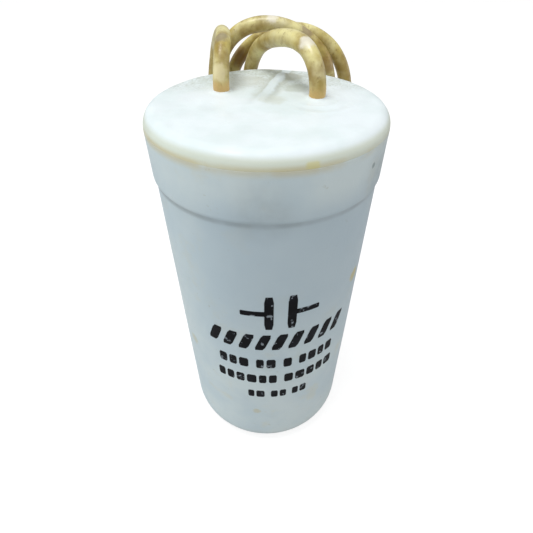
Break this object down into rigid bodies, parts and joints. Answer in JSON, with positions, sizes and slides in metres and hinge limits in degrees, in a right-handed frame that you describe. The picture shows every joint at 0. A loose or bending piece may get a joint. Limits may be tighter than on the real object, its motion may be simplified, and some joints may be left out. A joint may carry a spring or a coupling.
{
  "type": "motor run capacitor",
  "caption": "Round film capacitor that runs a small single-phase motor: a white moulded can closed by cast resin, with insulated leads out of its top.",
  "frame": {"origin": "centre of the can's base, on the surface that it stands on", "axes": "+Z along the can's axis towards the leads, -Y towards the side seen in front, +Y towards the side that the leads fall over"},
  "size_m": [0.0262, 0.0315, 0.0584],
  "materials": {
    "can_plastic": "satin moulded polypropylene, bluish white, slightly stained",
    "cast_resin": "cast resin, near white, soft satin with shallow runs and a dirty seam",
    "metallised_film": "wound film with a thin metal coating",
    "core_plastic": "plain moulded tube",
    "wrap_film": "clear film wrap",
    "sprayed_zinc": "rough sprayed metal",
    "solder": "dull solder",
    "tinned_wire": "tinned stranded copper",
    "lead_insulation": "aged cream insulation gone tan, waxy satin",
    "print_ink": "black pad print, thin and worn; it has no solid of its own"
  },
  "bodies": {
    "root": {"can": "can_plastic", "potting_resin": "cast_resin", "film_winding": "metallised_film", "winding_core": "core_plastic", "outer_wrap": "wrap_film", "end_spray_top": "sprayed_zinc", "end_spray_bottom": "sprayed_zinc", "solder_top": "solder", "solder_bottom": "solder", "wire_left": "tinned_wire", "wire_right": "tinned_wire", "lead_root_left": "lead_insulation", "lead_root_right": "lead_insulation", "lead_left": "lead_insulation", "lead_right": "lead_insulation", "lead_tip_left": "tinned_wire", "lead_tip_right": "tinned_wire"}
  },
  "joints": []
}
